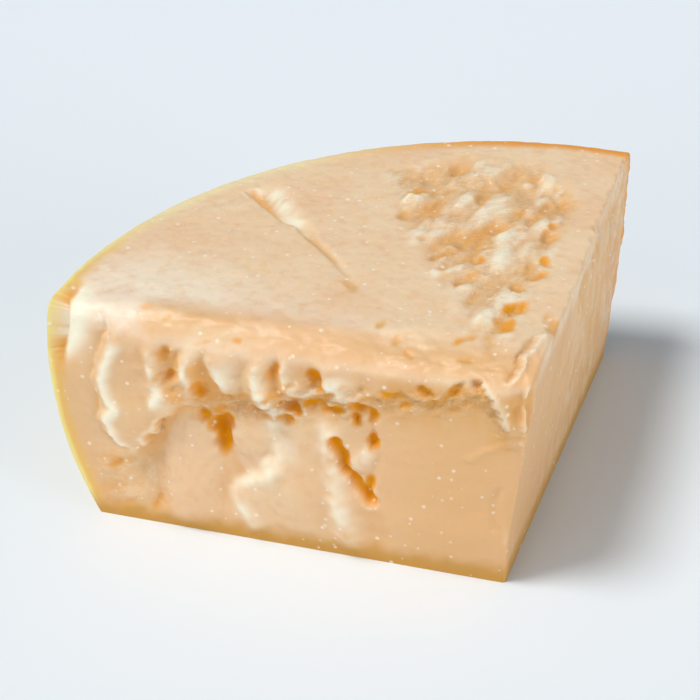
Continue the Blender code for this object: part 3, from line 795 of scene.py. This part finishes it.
def add_looks(mesh, moved, shares):
    """Keep the shares, 0 to 1, that the materials mix their colours by. Those of the broken shapes
    are helped by how far each point stands out from the surface around it: more tawny, painted
    shade, where it lies below, and more ivory, painted highlight, where it stands out. The others
    say how tan it is, partly painted shade, how near the rind's cut edge and the flat underside it
    lies, how far painted light pales the top's left end, and how far round the wedge it is, where
    turn is -1 at the left end of the rind and 1 at the right end."""
    pairs = read_points("vertices", mesh.edges, 2)
    counts = np.bincount(pairs.ravel(), minlength=len(moved))
    places = read_points("co", mesh.vertices, 3).astype(float) - AXIS
    near = (moved - smoothed(moved, pairs, counts, NEAR_ROUNDS)) / MM
    far = (moved - smoothed(moved, pairs, counts, FAR_ROUNDS)) / MM
    ragged = lattice_noise(places, 7 * MM, 41) + 0.5 * lattice_noise(places, 3 * MM, 42)
    amber, tawny, ivory, crumbs = [smoothed(share, pairs, counts, 1) for share in shares]
    # Painted shade: tawny where a point lies below the surface around it. Painted highlight: ivory where it
    # stands out.
    tawny = np.maximum(tawny, 0.8 * blend(-0.3, -2.4, far + 0.4 * ragged))
    ivory = np.maximum(ivory, 0.5 * blend(0.4, 1.5, near + 0.2 * ragged))
    depth = rind_depth(places) / MM
    foot = places[:, 2] / MM
    below_top = blend(CHUNK_HEIGHT - 5 * MM, CHUNK_HEIGHT - 14 * MM, places[:, 2])
    # Tan, partly painted shade: on the left face it grows towards the inner corner, away from the key light;
    # it also lies near the rind, on the proud block's upper left and all over the right face; and the top's
    # rolled front edge is darkened with it as painted shade.
    mass = 0.65 * blend(150 * MM, 164 * MM, places @ LEFT_ALONG) * blend(38 * MM, 50 * MM, places[:, 2])
    tan = np.maximum(blend(150 * MM, 15 * MM, places @ LEFT_ALONG), 0.8 * blend(34.0, 8.0, depth))
    tan = np.maximum(np.maximum(tan, mass), 0.3)
    tan = below_top * np.where(places @ RIGHT_OUT > -3 * MM, 1.0, tan)
    roll = (1.0 - below_top) * blend(-22 * MM, -6 * MM, places @ LEFT_OUT) * blend(34.0, 50.0, depth)
    tan = np.maximum(tan, 0.9 * roll)
    turn = np.degrees(np.arctan2(places[:, 0], places[:, 1])) / math.degrees(HALF_ANGLE)
    looks = {
        "amber": amber,
        "tawny": tawny * (1.0 - amber),
        "ivory": ivory * (1.0 - amber),
        "crumbs": crumbs,
        "tan": tan,
        "rind_edge": blend(9.5, 2.5, depth + 1.2 * ragged),
        "rind_skin": blend(4.0, 1.0, depth + 0.4 * ragged),
        "foot_edge": blend(14.0, 2.0, foot + 2.2 * ragged),
        "left_end": blend(-0.4, -0.95, turn),
        # Painted light: the top paler towards its left end.
        "lit_left_top": blend(-0.45, -1.0, turn) * (1.0 - below_top),
        "right_end": blend(-0.1, 0.7, turn),
    }
    for name, values in looks.items():
        layer = mesh.attributes.new(name, "FLOAT", "POINT")
        layer.data.foreach_set("value", values.astype(np.float32))


# ---- materials


def linear(hex_colour):
    """An sRGB hex colour as linear red, green, blue and alpha."""
    shares = [int(hex_colour[k:k + 2], 16) / 255 for k in (1, 3, 5)]
    return tuple(s / 12.92 if s <= 0.04045 else ((s + 0.055) / 1.055) ** 2.4 for s in shares) + (1.0,)


def add_node(tree, kind, inputs, **settings):
    """Add a node, give it its settings, and fill or link each named or numbered input. A colour
    mix takes its share at input 0 and its colours at 6 and 7, and gives its output 2."""
    node = tree.nodes.new(kind)
    for name, value in settings.items():
        setattr(node, name, value)
    for key, value in inputs.items():
        if isinstance(value, bpy.types.NodeSocket):
            tree.links.new(value, node.inputs[key])
        else:
            node.inputs[key].default_value = value
    return node


def new_material(name):
    """An empty material with its Principled shader already joined to the output."""
    material = bpy.data.materials.new(name)
    material.use_nodes = True
    tree = material.node_tree
    return material, tree, tree.nodes["Principled BSDF"]


def stain_share(tree, place, scale, detail, start, full, most):
    """A stain's share, from noise: none where the noise is at start, and most where it is full."""
    noise = add_node(tree, "ShaderNodeTexNoise", {"Vector": place, "Scale": scale, "Detail": detail})
    return add_node(tree, "ShaderNodeMapRange", {"Value": noise.outputs[0], "From Min": start,
                                                 "From Max": full, "To Max": most}).outputs[0]


def aged_paste_material():
    """Aged hard cheese paste, broken and not cut: dry, dense and grainy. Light goes a few mm into
    it. Hollows and cracks are painted amber and tawny as shade, and crests and lit slopes ivory as
    painted highlight. Side faces are tanner than the top, partly as painted shade. The rind's cut
    edge is a band from pale straw to amber, and browner along the foot."""
    material, tree, shader = new_material("aged_cheese_paste")
    place = add_node(tree, "ShaderNodeTexCoord", {}).outputs["Object"]
    share = {}
    for name in ("amber", "tawny", "ivory", "crumbs", "tan", "rind_edge", "rind_skin", "foot_edge",
                 "left_end", "right_end", "lit_left_top"):
        share[name] = add_node(tree, "ShaderNodeAttribute", {}, attribute_name=name).outputs["Fac"]

    # Cloudy patches about 40 mm across, and marbling of about 5 mm.
    cloudy = stain_share(tree, place, 25.0, 3.0, 0.4, 0.65, 0.35)
    veins = stain_share(tree, place, 200.0, 4.0, 0.5, 0.7, 0.3)

    # Where the paste broke, crumbs and pits of 1 to 4 mm, drawn out along the flakes.
    drawn = add_node(tree, "ShaderNodeMapping", {"Vector": place, "Rotation": (0.0, 0.0, -0.55),
                                                 "Scale": (0.5, 1.0, 1.0)}).outputs[0]
    crumbs = add_node(tree, "ShaderNodeTexNoise", {"Vector": drawn, "Scale": 420.0, "Detail": 4.0,
                                                   "Roughness": 0.65, "Distortion": 0.4}).outputs[0]
    loose = []
    for start, full in ((0.5, 0.36), (0.52, 0.66)):
        amount = add_node(tree, "ShaderNodeMapRange", {"Value": crumbs, "From Min": start, "From Max": full})
        loose.append(add_node(tree, "ShaderNodeMath", {0: amount.outputs[0], 1: share["crumbs"]},
                              operation="MULTIPLY").outputs[0])
    pits, crumb_highlight = loose

    # Painted shade: tawny in the crumbs' pits and in shallow hollows, with some mottling. Painted
    # highlight: ivory on the crumbs' tops and on crests.
    tawny_and_shade = add_node(tree, "ShaderNodeMath", {0: pits, 1: share["tawny"]}, operation="MAXIMUM").outputs[0]
    tawny_and_shade = add_node(tree, "ShaderNodeMath", {0: tawny_and_shade, 1: 0.75}, operation="MULTIPLY").outputs[0]
    pale = add_node(tree, "ShaderNodeMath", {0: crumb_highlight, 1: 0.2}, operation="MULTIPLY").outputs[0]
    pale = add_node(tree, "ShaderNodeMath", {0: pale, 1: share["ivory"]}, operation="MAXIMUM").outputs[0]
    pale = add_node(tree, "ShaderNodeMath", {0: pale, 1: 0.9}, operation="MULTIPLY").outputs[0]

    # The rind's cut edge: yellow skin and amber under it at the left end, pale straw along the
    # middle and amber at the right.
    skin = add_node(tree, "ShaderNodeMix", {0: share["rind_skin"], 6: linear("#EBB95C"),
                                            7: linear("#F2DF8E")}, data_type="RGBA").outputs[2]
    band = add_node(tree, "ShaderNodeMix", {0: share["left_end"], 6: linear("#F1DDAC"), 7: skin},
                    data_type="RGBA").outputs[2]
    band = add_node(tree, "ShaderNodeMix", {0: share["right_end"], 6: band, 7: linear("#EA9C38")},
                    data_type="RGBA").outputs[2]

    # White tyrosine crystals, at most one to each cell of about 5 mm. The largest are near 2 mm
    # across, and many are too small to show.
    cells = add_node(tree, "ShaderNodeTexVoronoi", {"Vector": place, "Scale": 210.0})
    lot = add_node(tree, "ShaderNodeSeparateColor", {0: cells.outputs["Color"]})
    size = add_node(tree, "ShaderNodeMapRange", {"Value": lot.outputs[0], "From Min": 0.05, "From Max": 1.0,
                                                 "To Min": 0.0, "To Max": 0.29}).outputs[0]
    inside = add_node(tree, "ShaderNodeMath", {0: size, 1: cells.outputs["Distance"]},
                      operation="SUBTRACT").outputs[0]
    speck = add_node(tree, "ShaderNodeMapRange", {"Value": inside, "From Min": 0.0, "From Max": 0.17,
                                                  "To Max": 0.6}).outputs[0]

    # The colours, laid one over another: pale straw, paler at the left end of the top as painted
    # light, tan on the sides, partly painted shade, clouds, marbling, tawny painted shade in hollows,
    # ivory painted highlight on crests, the rind's edge, the brown foot, amber painted shade in deep
    # hollows and open cracks, and the crystals.
    base = linear("#EFD0A9")
    for amount, colour in (
            (share["lit_left_top"], linear("#F6E6CE")), (share["tan"], linear("#E3B37A")),
            (cloudy, linear("#E9B588")), (veins, linear("#E2AC74")),
            (tawny_and_shade, linear("#E0A24E")), (pale, linear("#FCF5DC")),
            (share["rind_edge"], band), (share["foot_edge"], linear("#C8923C")),
            (share["amber"], linear("#EA9A02")), (speck, linear("#FBF1E2"))):
        base = add_node(tree, "ShaderNodeMix", {0: amount, 6: base, 7: colour},
                        data_type="RGBA").outputs[2]

    # Grain of about 0.8 mm and softer lumps of 3 mm all over, and the crumbs where it broke.
    grit = add_node(tree, "ShaderNodeTexNoise", {"Vector": place, "Scale": 1100.0, "Detail": 2.0}).outputs[0]
    fine = add_node(tree, "ShaderNodeMath", {0: grit, 1: 0.3}, operation="MULTIPLY").outputs[0]
    lumps = add_node(tree, "ShaderNodeTexNoise", {"Vector": place, "Scale": 330.0, "Detail": 3.0}).outputs[0]
    relief = add_node(tree, "ShaderNodeMath", {0: lumps, 1: fine}, operation="ADD").outputs[0]
    smooth_bump = add_node(tree, "ShaderNodeBump", {"Height": relief, "Strength": 0.3, "Distance": 0.5 * MM})
    bump = add_node(tree, "ShaderNodeBump", {"Height": crumbs, "Strength": share["crumbs"],
                                             "Distance": 1.6 * MM, "Normal": smooth_bump.outputs[0]})

    tree.links.new(base, shader.inputs["Base Color"])
    tree.links.new(bump.outputs[0], shader.inputs["Normal"])
    shader.inputs["Roughness"].default_value = 0.45
    shader.inputs["IOR"].default_value = 1.46
    gloss = add_node(tree, "ShaderNodeMapRange", {"Value": share["amber"], "To Min": 0.5, "To Max": 0.08})
    tree.links.new(gloss.outputs[0], shader.inputs["Specular IOR Level"])
    shader.inputs["Subsurface Weight"].default_value = 0.25
    shader.inputs["Subsurface Radius"].default_value = (1.0, 0.6, 0.25)
    shader.inputs["Subsurface Scale"].default_value = 3.0 * MM
    return material


def waxy_rind_material():
    """Natural rind, brushed and oiled as it aged, so it is dense and smooth, with a low waxy
    sheen, darker clouds and fine dark specks. It is browner round to the right."""
    material, tree, shader = new_material("oiled_natural_rind")
    place = add_node(tree, "ShaderNodeTexCoord", {}).outputs["Object"]
    turn = add_node(tree, "ShaderNodeAttribute", {}, attribute_name="right_end").outputs["Fac"]
    cloudy = stain_share(tree, place, 30.0, 4.0, 0.4, 0.7, 0.4)
    specks = stain_share(tree, place, 700.0, 2.0, 0.6, 0.75, 0.35)
    base = linear("#F0CB7E")
    for amount, colour in ((turn, "#E6AC5A"), (cloudy, "#D0954A"), (specks, "#A8702F")):
        base = add_node(tree, "ShaderNodeMix", {0: amount, 6: base, 7: linear(colour)},
                        data_type="RGBA").outputs[2]
    relief = add_node(tree, "ShaderNodeTexNoise", {"Vector": place, "Scale": 180.0, "Detail": 5.0}).outputs[0]
    bump = add_node(tree, "ShaderNodeBump", {"Height": relief, "Strength": 0.25, "Distance": 0.8 * MM})
    tree.links.new(base, shader.inputs["Base Color"])
    tree.links.new(bump.outputs[0], shader.inputs["Normal"])
    shader.inputs["Roughness"].default_value = 0.42
    shader.inputs["IOR"].default_value = 1.45
    shader.inputs["Subsurface Weight"].default_value = 0.2
    shader.inputs["Subsurface Radius"].default_value = (1.0, 0.5, 0.15)
    shader.inputs["Subsurface Scale"].default_value = 3.0 * MM
    return material


# ---- pieces


def in_scene(name, data):
    """A new object in the scene that holds a mesh, a camera or a light."""
    holder = bpy.data.objects.new(name, data)
    bpy.context.collection.objects.link(holder)
    return holder


def make_body():
    """The chunk itself: paste on the broken faces, rind on the curved back and the underside."""
    mesh, moved, shares = body_mesh()
    add_looks(mesh, moved, shares)
    mesh.shade_smooth()
    mesh.set_sharp_from_angle(angle=SHARP_ANGLE)
    mesh.materials.append(aged_paste_material())
    mesh.materials.append(waxy_rind_material())
    piece = in_scene("chunk_body", mesh)
    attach(piece, "root")
    centres = read_points("center", mesh.polygons, 3) - AXIS
    depth = rind_depth(centres)
    on_rind = (depth < RIND_FACE_DEPTH) | (centres[:, 2] < UNDERSIDE_HEIGHT)
    mesh.polygons.foreach_set("material_index", on_rind.astype(np.int32))
    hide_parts("parmesan_chunk")


# ---- camera, light and floor

CAMERA_HEADING = math.radians(62.57)
CAMERA_PITCH = math.radians(33.82)
CAMERA_FROM_AXIS = Vector((-0.3239, -0.4747, 0.5067))
CAMERA_LENS = 87.66
SENSOR_WIDTH = 36.0
ROOM_COLOUR = (0.78, 0.89, 1.0, 1.0)
ROOM_STRENGTH = 0.28
FLOOR_REACH = 6.0

# Heading and height (degrees), strength and softness (degrees) of each soft light.
LIGHTS = (
    ("key_light", 162.0, 63.0, 2.2, 20.0),
    ("left_softbox", 196.0, 32.0, 0.18, 40.0),
    ("low_left_fill", 205.0, 9.0, 0.68, 40.0),
    ("right_fill", 300.0, 5.0, 1.7, 40.0),
)


def make_camera():
    """A short telephoto view from the left front, looking down at the chunk."""
    camera = bpy.data.cameras.new("view_camera")
    camera.lens = CAMERA_LENS
    camera.sensor_width = SENSOR_WIDTH
    holder = in_scene("view_camera", camera)
    holder.location = CAMERA_FROM_AXIS + Vector(AXIS)
    ahead = Vector((math.cos(CAMERA_HEADING), math.sin(CAMERA_HEADING), -math.tan(CAMERA_PITCH)))
    holder.rotation_euler = ahead.to_track_quat("-Z", "Y").to_euler()
    bpy.context.scene.camera = holder


def add_sun(name, heading, height, strength, softness):
    """A distant soft light from a heading and a height above the horizon, in degrees."""
    heading = math.radians(heading)
    height = math.radians(height)
    lamp = bpy.data.lights.new(name, "SUN")
    lamp.energy = strength
    lamp.angle = math.radians(softness)
    holder = in_scene(name, lamp)
    level = math.cos(height)
    towards = Vector((math.cos(heading) * level, math.sin(heading) * level, math.sin(height)))
    holder.rotation_euler = (-towards).to_track_quat("-Z", "Y").to_euler()


def make_studio():
    """A pale floor, a soft high key from the left, a softbox and a low fill beside it, a low fill
    from the right, and a dim room of a cool white."""
    world = bpy.data.worlds.new("cool_white_room")
    bpy.context.scene.world = world
    world.use_nodes = True
    sky = world.node_tree.nodes["Background"]
    sky.inputs["Color"].default_value = ROOM_COLOUR
    sky.inputs["Strength"].default_value = ROOM_STRENGTH
    for light in LIGHTS:
        add_sun(*light)
    floor = bpy.data.meshes.new("floor")
    corners = np.array([(-1, -1, 0), (1, -1, 0), (1, 1, 0), (-1, 1, 0)]) * FLOOR_REACH
    floor.from_pydata(corners, [], [(0, 1, 2, 3)])
    material, _, shader = new_material("pale_matt_floor")
    shader.inputs["Base Color"].default_value = linear("#E8EDF0")
    shader.inputs["Roughness"].default_value = 0.9
    shader.inputs["Specular IOR Level"].default_value = 0.1
    floor.materials.append(material)
    in_scene("floor", floor)
    bpy.context.scene.view_settings.view_transform = "Standard"


make_body()
make_camera()
make_studio()

bpy.context.view_layer.update()
